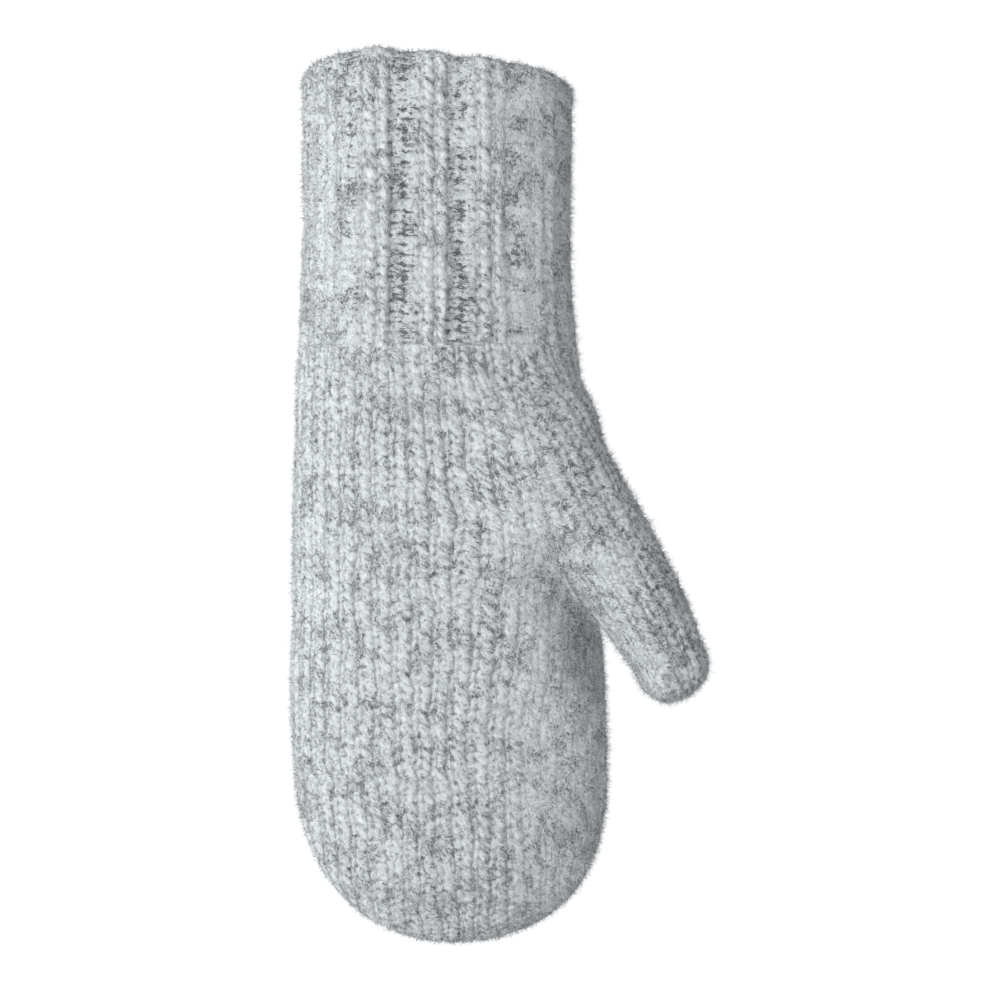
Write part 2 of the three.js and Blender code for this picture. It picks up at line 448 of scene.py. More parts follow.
surface = {
    "lumps": ((0.00045, 0.028, 21), (0.00022, 0.009, 22), (0.00010, 0.0022, 23)),  # height, size, seed
    "feltFlattens": 0.80,
    "sunk": 0.0004,
}


def stitchLegs(column, row, look):
    # height of plain knit: each stitch is two slanted ellipsoid legs, whose lower end is tucked under
    height = np.zeros(column.shape)
    rightLeg = (column - np.floor(column) > 0.5) * 1.0
    i0, j0 = np.floor(column), np.floor(row)
    (thin, wider), (low, higher) = leg["width"], leg["height"]
    for side in (0, 1):
        slant = math.atan(look["lean"][side])
        s, c = math.sin(slant), math.cos(slant)
        for di in (-1, 0, 1):
            for dj in (-1, 0, 1):
                i, j = i0 + di, j0 + dj
                luck = chance(i, j, side + 3)
                x = column - i - 0.5 - (side - leg["middle"]) * leg["apart"] + leg["drift"] * (luck - 0.5)
                x = x * look["stitchWidth"]
                y = (row - j - 0.5) * look["rowHeight"]
                along = (x * s + y * c) / look["legLength"][side]
                across = (x * c - y * s) / (look["legWidth"][side] * (thin + wider * chance(j, i, side + 5)))
                round2 = 1 - along**2 - across**2
                plump = np.sqrt(np.maximum(round2, 0)) * (low + higher * luck) - leg["tuck"] * along
                plump = np.where(round2 > 0, look["legHeight"][side] * plump, 0)
                rightLeg = np.where(plump > height, side, rightLeg)
                height = np.maximum(height, plump)
    return height, rightLeg


def purlBumps(column, row, look):
    # height of purl: flat arcs lying across, two to a stitch
    row = row * 2
    height = np.zeros(column.shape)
    i0, j0 = np.floor(column), np.floor(row)
    low, higher = purl["height"]
    for di in (-1, 0, 1):
        for dj in (-1, 0, 1):
            i, j = i0 + di, j0 + dj
            x = (column - i - 0.5 + purl["drift"] * (chance(i, j, 8) - 0.5)) * look["stitchWidth"]
            arch = (2 * (j % 2) - 1) * purl["arch"] * x**2
            y = (row - j - 0.5) * look["rowHeight"] / 2 + purl["slope"] * x + arch
            round2 = 1 - (x / purl["halfWidth"]) ** 2 - (y / purl["halfHeight"]) ** 2
            height = np.maximum(height, np.sqrt(np.maximum(round2, 0)) * (low + higher * chance(i, j, 9)))
    return height


def ribRelief(column, row, ragged):
    # pairs of knit stitches stand up, pairs of purl stitches lie back
    offCentre = np.abs((column + ragged + 2) % 4 - 2)
    ridge = 1 - smooth(offCentre, *rib["ridgeEdge"])
    legs, rightLeg = stitchLegs(column, row, rib)
    bumps = purlBumps(column, row, rib)
    raised, lying = legs * rib["depth"] - rib["sunk"], bumps * rib["bumpDepth"] - rib["recess"]
    height = ridge * raised + (1 - ridge) * lying
    # the second value is how deep each point lies, from which the marl paints crease shade; purl is scaled
    # down so its recesses are painted darker
    return height, ridge * legs + (1 - ridge) * purl["shade"] * bumps, rightLeg, ridge


def feltUpTo(name, x):
    most, low, high = felting[name]
    return most * smooth(x, low, high)


def feltOf(points):
    # how much the fulling has closed the surface: more at both edges of the cuff, on the thumb side, beside
    # the thumb and on the back, in patches
    x, y, z = points[..., 0], points[..., 1], points[..., 2]
    patches = 0.5 + 0.5 * lumps(points, *felting["patches"])
    cuff = feltUpTo("cuff", y - body["handTop"])
    fromEdge = x - feltUpTo("drawnBack", y)
    right = feltUpTo("thumbSide", fromEdge) * (1 - cuff) + feltUpTo("cuffThumbSide", x) * cuff
    palmSide = 1 - felting["palmSide"][0] + feltUpTo("palmSide", z)
    left = feltUpTo("cuffOuterSide", -x) * cuff * palmSide + feltUpTo("outerSide", -x) * (1 - cuff)
    local = toThumb(points)
    beside = feltUpTo("besideThumb", local[..., 1]) * (1 - feltUpTo("besideEnds", local[..., 1]))
    beside = beside * np.exp(-(((local[..., 0] - palmDip["middle"]) / felting["besideWidth"]) ** 2))
    most = np.maximum(np.maximum(right * palmSide, left), np.maximum(beside, feltUpTo("back", -z)))
    even, patched, more = felting["patchy"]
    return np.clip(most * (even + patched * patches) + more * patches**2, 0, felting["most"])


def clothOf(points, relief, felt, fade):
    # the finished surface: smooth tube, soft lumps, and the relief, flattened where the wool is felted
    soft = sum(height * lumps(points, size, seed) for height, size, seed in surface["lumps"])
    height = relief * (1 - surface["feltFlattens"] * felt) * fade + soft - surface["sunk"]
    cloth = points + normalsOf(points) * height[..., None]
    cloth[..., 2] = np.maximum(cloth[..., 2], overTable)
    return cloth


def meshFrom(name, points, faceGroups, stitchAt, around, floats, material, normals=None):
    # a mesh from arrays: each face group is an array of corners, one row a face; stitch coordinates become
    # its UV map
    mesh = bpy.data.meshes.new(name)
    corners = np.concatenate([group.ravel() for group in faceGroups])
    sizes = np.concatenate([np.full(len(group), group.shape[1]) for group in faceGroups])
    mesh.vertices.add(len(points))
    mesh.vertices.foreach_set("co", points.astype(np.float32).ravel())
    mesh.loops.add(len(corners))
    mesh.loops.foreach_set("vertex_index", corners.astype(np.int32))
    mesh.polygons.add(len(sizes))
    mesh.polygons.foreach_set("loop_start", (np.cumsum(sizes) - sizes).astype(np.int32))
    mesh.update(calc_edges=True)
    uvs = []
    for group in faceGroups:
        column, row = stitchAt[group][..., 0], stitchAt[group][..., 1]
        middle = (column.max(1) + column.min(1))[:, None] / 2
        crosses = (column.max(1) - column.min(1))[:, None] > around / 2  # the face that closes the round
        column = np.where(crosses & (column < middle), column + around, column)
        uvs.append(np.stack([column, row], -1).reshape(-1, 2))
    uvMap = mesh.uv_layers.new(name="stitches")
    uvMap.uv.foreach_set("vector", np.concatenate(uvs).astype(np.float32).ravel())
    for label, values in floats.items():
        mesh.attributes.new(label, "FLOAT", "POINT").data.foreach_set("value", values.astype(np.float32))
    mesh.polygons.foreach_set("use_smooth", np.ones(len(sizes), bool))
    mesh.validate()
    if normals is not None:
        mesh.normals_split_custom_set_from_vertices(normals)
    piece = bpy.data.objects.new(name, mesh)
    bpy.context.scene.collection.objects.link(piece)
    mesh.materials.append(material)
    return piece


def shellFaces(rows, columns, keep, tip):
    # outer grid facing out, coarser inner grid facing in, and the cut edges between them closed
    down, along = cell
    cellsDown, cellsRound = keep.shape
    base = rows * columns
    outer = lambda v, u: v * columns + u % columns
    inner = lambda v, u: base + v * cellsRound + u % cellsRound
    where = lambda mask: (index[:, None] for index in np.nonzero(mask))
    v, u = where(np.repeat(np.repeat(keep, down, 0), along, 1))
    groups = [np.hstack([outer(v, u), outer(v + 1, u), outer(v + 1, u + 1), outer(v, u + 1)])]
    v, u = where(keep)
    groups.append(np.hstack([inner(v, u), inner(v, u + 1), inner(v + 1, u + 1), inner(v + 1, u)]))
    above = np.vstack([np.zeros((1, cellsRound), bool), keep[:-1]])
    below = np.vstack([keep[1:], np.full((1, cellsRound), tip)])
    chain = np.arange(along + 1)
    v, u = where(keep & ~above)
    groups.append(np.hstack([outer(v * down, u * along + chain), inner(v, u + 1), inner(v, u)]))
    v, u = where(keep & ~below)
    rim = outer(v * down + down, u * along + chain[::-1])
    groups.append(np.hstack([rim, inner(v + 1, u), inner(v + 1, u + 1)]))
    chain = np.arange(down + 1)
    v, u = where(keep & ~np.roll(keep, 1, 1))
    groups.append(np.hstack([inner(v, u), inner(v + 1, u), outer(v * down + chain[::-1], u * along)]))
    v, u = where(keep & ~np.roll(keep, -1, 1))
    rim = outer(v * down + chain, u * along + along)
    groups.append(np.hstack([inner(v + 1, u + 1), inner(v, u + 1), rim]))
    if tip:  # close both layers to a point
        pole = base + (cellsDown + 1) * cellsRound
        u = np.arange(columns)
        groups.append(np.stack([outer(rows - 1, u), np.full(columns, pole), outer(rows - 1, u + 1)], 1))
        u = np.arange(cellsRound)
        innerPole = np.full(cellsRound, pole + 1)
        groups.append(np.stack([inner(cellsDown, u), inner(cellsDown, u + 1), innerPole], 1))
    return [group for group in groups if len(group)]


def clothPiece(name, outer, inner, normals, stitchAt, around, values, material, keep=None, tip=False):
    # one stretch of cloth with its two sides, as a closed mesh; values are numbers for each outer point
    rows, columns = outer.shape[:2]
    keep = np.ones(((rows - 1) // cell[0], columns // cell[1]), bool) if keep is None else keep
    every = (slice(None, None, cell[0]), slice(None, None, cell[1]))
    flat = lambda grid: grid.reshape(-1, grid.shape[-1])
    pick = lambda grid: np.concatenate([flat(grid), flat(grid[every])])
    points = np.concatenate([outer.reshape(-1, 3), inner.reshape(-1, 3)])
    normals = np.concatenate([normals[0].reshape(-1, 3), -normals[1].reshape(-1, 3)])
    stitchAll = pick(stitchAt)
    valuesAll = {key: pick(value[..., None])[:, 0] for key, value in values.items()}
    if tip:
        points = np.vstack([points, outer[-1].mean(0), inner[-1].mean(0)])
        tipward = unit(outer[-1].mean(0) - outer[-2 * cell[0]].mean(0))
        normals = np.vstack([normals, tipward, -tipward])
        stitchAll = np.vstack([stitchAll, stitchAt[-1].mean(0), stitchAt[-1].mean(0)])
        valuesAll = {key: np.append(value, [values[key][-1].mean()] * 2) for key, value in valuesAll.items()}
    faces = shellFaces(rows, columns, keep, tip)
    used = np.zeros(len(points), bool)
    used[np.concatenate([group.ravel() for group in faces])] = True
    renumber = np.cumsum(used) - 1
    faces = [renumber[group] for group in faces]
    valuesAll = {key: value[used] for key, value in valuesAll.items()}
    return meshFrom(name, points[used], faces, stitchAll[used], around, valuesAll, material, normals[used])


def bodyStitches(points, y, travelled):
    # stitch and row number at each point: columns even round the hand, but at the tip they keep their width
    # and run out at the sides, where the hand is decreased
    columns, half = points.shape[1], knit["stitches"] / 2
    around = (np.arange(columns) / columns - 0.5) * knit["stitches"]
    step = np.linalg.norm(np.roll(points, -1, 1) - points, axis=-1)
    fromBack = np.concatenate([np.zeros((len(points), 1)), np.cumsum(step, 1)], 1)
    total, fromBack = fromBack[:, -1:], fromBack[:, :-1]
    quarter = columns // 4
    fromPalm = fromBack - fromBack[:, 2 * quarter, None]
    inTip = y < knit["tipZone"]
    pitch = fromPalm[~inTip, 3 * quarter][-1] / (half / 2)
    index = np.arange(columns)
    palm = (index >= quarter) & (index <= 3 * quarter)
    back = np.where(index < quarter, fromBack / pitch - half, half - (total - fromBack) / pitch)
    column = np.where(inTip[:, None], np.where(palm, fromPalm / pitch, back), around)
    handShare = 1 - smooth(y, body["handTop"] - 0.001, body["handTop"] + 0.001)
    rowHeight = rib["rowHeight"] + (knit["rowHeight"] - rib["rowHeight"]) * handShare
    row = np.concatenate([[0], np.cumsum(np.diff(travelled) / rowHeight[1:])])
    return np.stack([column, np.broadcast_to(row[:, None], column.shape)], -1)


# the marled wool
wool = {
    "pale": (0.68, 0.71, 0.73),
    "mid": (0.36, 0.385, 0.40),
    "dark": (0.070, 0.080, 0.088),
    "darkShare": 0.75,  # how much dark fibre is spun in
    "cuffShare": 1.05,  # times that
    "thumbShare": 1.12,
    "roughness": 0.95,
    "specular": 0.1,
    "sheen": 0.12,
    "sheenRoughness": 0.5,
    "bump": 0.0007,
    "bumpStrength": 0.8,
    "wispShare": 0.6,  # of the bump, that runs along the legs
}

yarn = {
    "radius": 0.0013,
    "plies": 3,
    "twist": 0.0085,  # length of one turn of the plies
    "clear": 0.0005,
    "sides": 15,
    "thinnest": 0.72,  # of the radius, between two plies
    "frayed": (0.55, 0.002),  # of the radius at a free end, and how far it thins
    "pointed": 0.7,
    "felt": 0.3,
    "stitchWidth": 0.0045,  # what its marl is measured in
    "rowHeight": 0.003,
}

strands = {
    # noise on coordinates in millimetres: stretch, scale, detail, roughness, distortion
    "longPatch": ((0.75, 1, 1), 0.085, 3.0, 0.65, 0.8),
    "shortPatch": ((0.9, 0.7, 1), 0.24, 2.0, 0.6, 0.6),
    "stroke": ((1, 0.38, 1), 0.85, 3.0, 0.65, 0.2),
    "hair": ((1, 0.42, 1), 3.0, 2.0, 0.80, 0.5),
    "across": ((0.30, 1, 1), 0.95, 3.0, 0.7, 0.5),
    "acrossHair": ((0.30, 1, 1), 3.2, 2.0, 0.75, 0.6),
    "cloud": ((1, 0.8, 1), 1.5, 3.0, 0.75, 0.8),
    "tone": ((1, 0.40, 1), 2.3, 4.0, 0.80, 0.4),
    "wisp": ((1, 0.2, 1), 2.6, 4.0, 0.75, 1.0),
    "crossing": ((0.4, 1, 1), 1.8, 4.0, 0.75, 1.6),
}

marlLook = {
    "strokeShare": 0.37,  # of the leg's pattern, the rest is hair
    "purlShare": 0.35,
    "cloudShare": 0.50,
    # the crease entries paint shade into the colour where a point lies low in its stitch
    "feltDarker": 0.016,
    "paintedCreaseShade": (0.08, 0.065),  # painted shade in the creases: on purl, and everywhere
    "creaseDepth": (0.15, 0.70),
    "feltFills": -0.8,
    "patchEdges": ((0.38, 0.62), (0.40, 0.66), (0.15, 0.90)),  # long, short, both together
    "patchShare": 0.55,
    "inPatch": (0.85, 0.15),  # how much of the dark fibre lies in patches, and how much anywhere
    "spread": 0.160,  # how far the dark share moves the threshold
    "threshold": 0.620,
    "strokeEdge": (-0.01, 0.06),
    "darkest": 0.90,
    "toneEdges": (0.24, 0.62),
    # painted shade: how much the pale wool in the creases is darkened
    "creaseShadeTone": -0.40,
    "patchTone": -0.22,
}


def newGroup(name, inputs, outputs):
    group = bpy.data.node_groups.new(name, "ShaderNodeTree")
    for label, kind, value in inputs:
        socket = group.interface.new_socket(label, in_out="INPUT", socket_type=kind)
        if value is not None:
            socket.default_value = value
    for label, kind in outputs:
        group.interface.new_socket(label, in_out="OUTPUT", socket_type=kind)
    return group, group.nodes.new("NodeGroupInput").outputs, group.nodes.new("NodeGroupOutput").inputs


def feed(tree, node, inputs):
    # each input is linked, or given a value
    for key, value in inputs.items():
        if isinstance(value, bpy.types.NodeSocket):
            tree.links.new(value, node.inputs[key])
        else:
            node.inputs[key].default_value = value


def addNode(tree, kind, inputs=None, **settings):
    node = tree.nodes.new("ShaderNode" + kind)
    for key, value in settings.items():
        setattr(node, key, value)
    feed(tree, node, inputs or {})
    return node


def calc(tree, operation, a, b=0.0, c=0.0):
    return addNode(tree, "Math", {0: a, 1: b, 2: c}, operation=operation).outputs[0]


def blendOf(tree, factor, a, b):
    return addNode(tree, "Mix", {0: factor, 2: a, 3: b}, data_type="FLOAT").outputs[0]


def colorMix(tree, factor, a, b):
    return addNode(tree, "Mix", {0: factor, 6: a, 7: b}, data_type="RGBA").outputs[2]


def ease(tree, value, low, high):
    # 0 below low, 1 above high
    ends = {"Value": value, "From Min": low, "From Max": high}
    return addNode(tree, "MapRange", ends, interpolation_type="SMOOTHSTEP").outputs["Result"]


def streaks(tree, vector, stretch, scale, detail=3.0, rough=0.6, distortion=0.0):
    # noise stretched along each axis of the vector
    scaled = addNode(tree, "VectorMath", {0: vector, 1: stretch}, operation="MULTIPLY").outputs[0]
    grain = {"Scale": scale, "Detail": detail, "Roughness": rough, "Distortion": distortion}
    return addNode(tree, "TexNoise", {"Vector": scaled, **grain}).outputs["Fac"]


def buildLegDirection():
    # stitch coordinates in millimetres, slanted so that y runs along the leg and x across it
    group, given, made = newGroup(
        "alongTheLeg",
        [
            ("Stitch", "NodeSocketVector", None),
            ("Right Leg", "NodeSocketFloat", 0.0),
            ("Width", "NodeSocketFloat", 5.6),
            ("Height", "NodeSocketFloat", 3.5),
        ],
        [("Slanted", "NodeSocketVector"), ("Straight", "NodeSocketVector")],
    )
    split = addNode(group, "SeparateXYZ", {0: given["Stitch"]}).outputs
    slant = blendOf(group, given["Right Leg"], *knit["lean"])
    across = calc(group, "MULTIPLY", split[0], given["Width"])
    along = calc(group, "MULTIPLY", split[1], given["Height"])
    slanted = calc(group, "SUBTRACT", across, calc(group, "MULTIPLY", along, slant))
    apart = calc(group, "MULTIPLY", given["Right Leg"], 3.0)  # each leg has noise of its own
    for label, way in (("Slanted", {0: slanted, 1: along, 2: apart}), ("Straight", {0: across, 1: along})):
        group.links.new(addNode(group, "CombineXYZ", way).outputs[0], made[label])
    return group


def buildMarl():
    # pale wool spun with dark fibre: the dark shows as thin strokes along the legs, closer in some patches;
    # shade is also painted in where a point lies low in its stitch
    group, given, made = newGroup(
        "marledWool",
        [
            ("Slanted", "NodeSocketVector", None),
            ("Straight", "NodeSocketVector", None),
            ("Felt", "NodeSocketFloat", 0.0),
            ("Depth", "NodeSocketFloat", 0.5),
            ("Purl", "NodeSocketFloat", 0.0),
            ("Dark Share", "NodeSocketFloat", 0.5),
            ("Pale", "NodeSocketColor", (*wool["pale"], 1)),
            ("Mid", "NodeSocketColor", (*wool["mid"], 1)),
            ("Dark", "NodeSocketColor", (*wool["dark"], 1)),
        ],
        [("Color", "NodeSocketColor")],
    )
    look = marlLook
    strand = lambda way, kind: streaks(group, given[way], *strands[kind])
    do = lambda operation, *values: calc(group, operation, *values)
    shared = lambda share, a, b: do("MULTIPLY_ADD", a, share, do("MULTIPLY", b, 1 - share))
    # painted shade: the lower a point lies in its stitch, the more crease shade it gets, less where felt
    # fills the crease
    creaseShade = do("SUBTRACT", 1.0, ease(group, given["Depth"], *look["creaseDepth"]))
    creaseShade = do("MULTIPLY", creaseShade, do("MULTIPLY_ADD", given["Felt"], look["feltFills"], 1.0))
    # patches of darker yarn run along the rows, some for a stitch or two and some for many
    longEdges, shortEdges, patchEdges = look["patchEdges"]
    wide = ease(group, strand("Straight", "longPatch"), *longEdges)
    short = ease(group, strand("Slanted", "shortPatch"), *shortEdges)
    patch = do("MULTIPLY_ADD", wide, look["patchShare"], do("MULTIPLY", short, look["patchShare"]))
    patch = ease(group, patch, *patchEdges)
    # the strokes: along the legs on knit, across on purl, clouded where the wool is felted
    stroke, hair = strand("Slanted", "stroke"), strand("Slanted", "hair")
    level = shared(look["strokeShare"], stroke, hair)
    purled = shared(look["purlShare"], strand("Straight", "across"), strand("Straight", "acrossHair"))
    level = blendOf(group, given["Purl"], level, purled)
    clouded = do("MULTIPLY", strand("Straight", "cloud"), look["cloudShare"])
    matted = do("ADD", clouded, do("MULTIPLY_ADD", hair, 1 - look["cloudShare"], look["feltDarker"]))
    level = blendOf(group, given["Felt"], level, matted)
    # painted shade: the creases get more dark strokes, most on purl
    level = do("MULTIPLY_ADD", creaseShade, do("MULTIPLY_ADD", given["Purl"], *look["paintedCreaseShade"]), level)
    amount = do("MULTIPLY", do("MULTIPLY_ADD", patch, *look["inPatch"]), given["Dark Share"])
    over = do("MULTIPLY_ADD", amount, look["spread"], do("SUBTRACT", level, look["threshold"]))
    darkness = do("MULTIPLY", ease(group, over, *look["strokeEdge"]), look["darkest"])
    # and the pale wool between them is uneven too, with painted shade darkening it in the creases
    tone = ease(group, strand("Slanted", "tone"), *look["toneEdges"])
    tone = do("MULTIPLY", tone, do("MULTIPLY_ADD", creaseShade, look["creaseShadeTone"], 1.0))
    tone = do("MULTIPLY", tone, do("MULTIPLY_ADD", patch, look["patchTone"], 1.0))
    color = colorMix(group, tone, given["Mid"], given["Pale"])
    color = colorMix(group, darkness, color, given["Dark"])
    group.links.new(color, made["Color"])
    return group


def buildFibres():
    # height of the matted fibre: fine ridges, most of them along the legs and some across
    group, given, made = newGroup(
        "mattedFibre",
        [("Slanted", "NodeSocketVector", None), ("Straight", "NodeSocketVector", None)],
        [("Height", "NodeSocketFloat")],
    )
    along = streaks(group, given["Slanted"], *strands["wisp"])
    crossing = streaks(group, given["Straight"], *strands["crossing"])
    share = wool["wispShare"]
    height = calc(group, "MULTIPLY_ADD", along, share, calc(group, "MULTIPLY", crossing, 1 - share))
    group.links.new(height, made["Height"])
    return group


legDirection = buildLegDirection()
marl = buildMarl()
mattedFibre = buildFibres()


def woolMaterial(name, look, darkShare):
    material = bpy.data.materials.new(name)
    material.use_nodes = True
    tree = material.node_tree
    shader = tree.nodes["Principled BSDF"]
    shader.inputs["Roughness"].default_value = wool["roughness"]
    shader.inputs["Sheen Weight"].default_value = wool["sheen"]
    shader.inputs["Sheen Roughness"].default_value = wool["sheenRoughness"]
    shader.inputs["Specular IOR Level"].default_value = wool["specular"]
    stitch = addNode(tree, "UVMap", uv_map="stitches").outputs[0]
    read = lambda key: addNode(tree, "Attribute", attribute_name=key).outputs["Fac"]
    felt, depth, rightLeg, purled = (read(key) for key in ("felt", "depth", "rightLeg", "purl"))

    def placed(nodeTree, inputs):
        group = addNode(tree, "Group", node_tree=nodeTree)
        feed(tree, group, inputs)
        return group.outputs

    size = {"Width": look["stitchWidth"] * 1000, "Height": look["rowHeight"] * 1000}
    ways = placed(legDirection, {"Stitch": stitch, "Right Leg": rightLeg, **size})
    ways = {"Slanted": ways["Slanted"], "Straight": ways["Straight"]}
    shades = {key: (*wool[key.lower()], 1) for key in ("Pale", "Mid", "Dark")}
    marled = {**ways, "Felt": felt, "Depth": depth, "Purl": purled, "Dark Share": darkShare, **shades}
    tree.links.new(placed(marl, marled)["Color"], shader.inputs["Base Color"])
    height = placed(mattedFibre, ways)["Height"]
    relief = {"Strength": wool["bumpStrength"], "Distance": wool["bump"], "Height": height}
    bump = addNode(tree, "Bump", relief)
    tree.links.new(bump.outputs["Normal"], shader.inputs["Normal"])
    return material


handWool = woolMaterial("felted plain knit", knit, wool["darkShare"])
cuffWool = woolMaterial("felted rib", rib, wool["cuffShare"] * wool["darkShare"])
thumbWool = woolMaterial("felted thumb", knit, wool["thumbShare"] * wool["darkShare"])
yarnWool = woolMaterial("yarn", yarn, wool["darkShare"])

# the cloth of the body, and where it meets the thumb
bodyY, travelled = evenRows(body, body["mouth"][1])
smoothBody = bodyTube(bodyY, body["columns"], 0)
smoothBody = smoothBody - normalsOf(smoothBody) * hollow(smoothBody)[..., None]
stitchAt = bodyStitches(smoothBody, bodyY, travelled)
thumbSide = distance(thumb, toThumb(smoothBody))
thumbSide[toThumb(smoothBody)[..., 1] > thumb["top"]] = 1  # beyond the thumb's upper end
fittedBody = meet(smoothBody, thumbSide)
bodyFelt = feltOf(fittedBody)

# beside the gusset the wales lean towards the thumb
facing = np.clip(gusset["turn"] * normalsOf(fittedBody)[..., 2], -1, 1)
shift = gusset["shift"] * np.interp(bodyY, gusset["runs"], (0, 1, 1, 0))[:, None]
stitchAt[..., 0] -= shift * smooth(fittedBody[..., 0], *gusset["across"]) * facing / knit["stitchWidth"]

# plain knit on the hand, rib on the cuff
wander = [amount * lumps(fittedBody, size, seed) for amount, size, seed in knit["wander"]]
raggedBy, raggedSize, raggedSeed = rib["ragged"]
ragged = raggedBy * lumps(fittedBody, raggedSize, raggedSeed)
inCuff = smooth(bodyY, body["handTop"] - rib["ends"], body["handTop"] + rib["ends"])[:, None]
ribColumn = (np.arange(body["columns"]) / body["columns"] - 0.5) * rib["stitches"] - rib["phase"]
ribColumn = np.broadcast_to(ribColumn, thumbSide.shape)
row = stitchAt[..., 1] + wander[1]
plainLegs, plainRight = stitchLegs(stitchAt[..., 0] + wander[0], row, knit)
ribHeight, ribDepth, ribRight, ridge = ribRelief(ribColumn + rib["wander"] * wander[0], row, ragged)
relief = plainLegs * knit["depth"] * (1 - inCuff) + ribHeight * inCuff
bodyCloth = clothOf(fittedBody, relief, bodyFelt, reliefAt(thumbSide))
stitchAt[..., 0] = np.where(inCuff > 0.5, ribColumn, stitchAt[..., 0])


def evenedAtTip(depth, shape, travelled, even=0.6):
    # how deep in the stitch each point lies, evened out where the columns draw together, so that the painted
    # crease shade fades out there
    fromTip = (travelled[-1] - travelled)[:, None]
    return depth + (even - depth) * (1 - smooth(fromTip, *shape["tipFlat"]))


# depth is how deep each point lies in its stitch; the marl paints shade from it into the creases
bodyValues = {
    "felt": bodyFelt,
    "depth": evenedAtTip(plainLegs * (1 - inCuff) + ribDepth * inCuff, body, travelled),
    "rightLeg": np.where(inCuff > 0.5, ribRight * ridge, plainRight),
    "purl": smooth(1 - ridge, *rib["purlShows"]) * inCuff,
}
innerBody = bodyTube(innerRows(body, bodyY), body["columns"] // cell[1], body["wall"])
bodyNormals, innerNormals = softNormals(bodyCloth, thumbSide), normalsOf(innerBody)


def rowAt(y):
    # the nearest row that starts a cell
    return int(round(np.argmin(np.abs(bodyY - y)) / cell[0])) * cell[0]


def hiddenCells(other, columns):
    # cells that lie wholly inside the other tube
    return (other < join["hidden"]).reshape(-1, cell[0], columns // cell[1], cell[1]).all(axis=(1, 3))


def bodyPiece(name, start, end, material, around, keep=None, tip=False):
    rows, inner = slice(start, end + 1), slice(start // cell[0], end // cell[0] + 1)
    values = {key: value[rows] for key, value in bodyValues.items()}
    cloth, normals = (bodyCloth[rows], innerBody[inner]), (bodyNormals[rows], innerNormals[inner])
    return clothPiece(name, *cloth, normals, stitchAt[rows], around, values, material, keep, tip)


handStart = rowAt(body["handTop"])
fingerStart = rowAt(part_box("finger_pouch")[1].y)
lastRow = len(bodyY) - 1
handKeep = ~hiddenCells(thumbSide[handStart:fingerStart], body["columns"])
cuffPiece = bodyPiece("cuff_knit", 0, handStart, cuffWool, rib["stitches"])
handPiece = bodyPiece("hand_knit", handStart, fingerStart, handWool, knit["stitches"], keep=handKeep)
fingerPiece = bodyPiece("finger_knit", fingerStart, lastRow, handWool, knit["stitches"], tip=True)
print("body knitted:", bodyCloth.shape)

# the thumb's cloth
thumbKnit = {
    "wander": (0.13, 0.016, 43),
    "felt": 0.08,
    "feltPatches": (0.25, 0.02, 31),
    "feltInside": (0.7, -0.002, 0.008),  # more on the side that faces the hand
    "mostFelt": 0.9,
    "tipSmooth": 0.004,  # the relief fades out this far from the tip
}
thumbTip = thumb["stations"][0][0]
thumbY, thumbTravelled = evenRows(thumb, thumb["top"])
smoothThumb = fromThumb(tube(thumb, thumbY, thumb["columns"], 0))
bodySide = bodyDistance(smoothThumb)
fittedThumb = meet(smoothThumb, bodySide)
thumbColumn = (np.arange(thumb["columns"]) / thumb["columns"] - 0.5) * thumb["stitches"]
thumbRow = (thumbTravelled / knit["rowHeight"])[:, None] + 0 * thumbColumn
thumbColumn = np.broadcast_to(thumbColumn, thumbRow.shape)
amount, size, seed = thumbKnit["wander"]
thumbWander = amount * lumps(fittedThumb, size, seed)
thumbLegs, thumbRight = stitchLegs(thumbColumn + thumbWander, thumbRow + 2 * thumbWander, knit)
amount, size, seed = thumbKnit["feltPatches"]
thumbFelt = thumbKnit["felt"] + amount * lumps(fittedThumb, size, seed)
amount, low, high = thumbKnit["feltInside"]
thumbFelt = thumbFelt + amount * smooth(-toThumb(fittedThumb)[..., 0], low, high)
thumbFelt = np.clip(thumbFelt, 0, thumbKnit["mostFelt"])
thumbFade = reliefAt(bodySide) * smooth(thumbY, thumbTip, thumbTip + thumbKnit["tipSmooth"])[:, None]
thumbCloth = clothOf(fittedThumb, thumbLegs * knit["depth"], thumbFelt, thumbFade)
thumbInner = fromThumb(tube(thumb, innerRows(thumb, thumbY), thumb["columns"] // cell[1], thumb["wall"]))
thumbKeep = ~hiddenCells(bodySide[:-1], thumb["columns"])
thumbDepth = evenedAtTip(thumbLegs, thumb, thumbTravelled)
thumbNormals = softNormals(thumbCloth, bodySide), normalsOf(thumbInner)
thumbPiece = clothPiece(
    "thumb_knit",
    thumbCloth,
    thumbInner,
    thumbNormals,
    np.stack([thumbColumn, thumbRow], -1),
    thumb["stitches"],
    {"felt": thumbFelt, "depth": thumbDepth, "rightLeg": thumbRight},
    thumbWool,
    thumbKeep,
    tip=True,
)
print("thumb knitted:", thumbCloth.shape)

# yarn: the cast-on edge, the woven-in ends and the loops drawn through at the tips
edge = {
    "loops": 48,
    "slant": 0.75,  # how far round the edge a loop runs for one loop along it
    "plump": 0.34,
    "sides": 18,
    "over": 0.0003,  # more than half the wall
    "evened": (5, 2.5),  # columns to each side over which it evens out the ribs, and how gently
    "bulge": (0.7, 0.6),  # the least, and how much more a loop can have
}


def lengthAlong(path):
    return np.concatenate([[0], np.cumsum(np.linalg.norm(np.diff(path, axis=0), axis=1))])


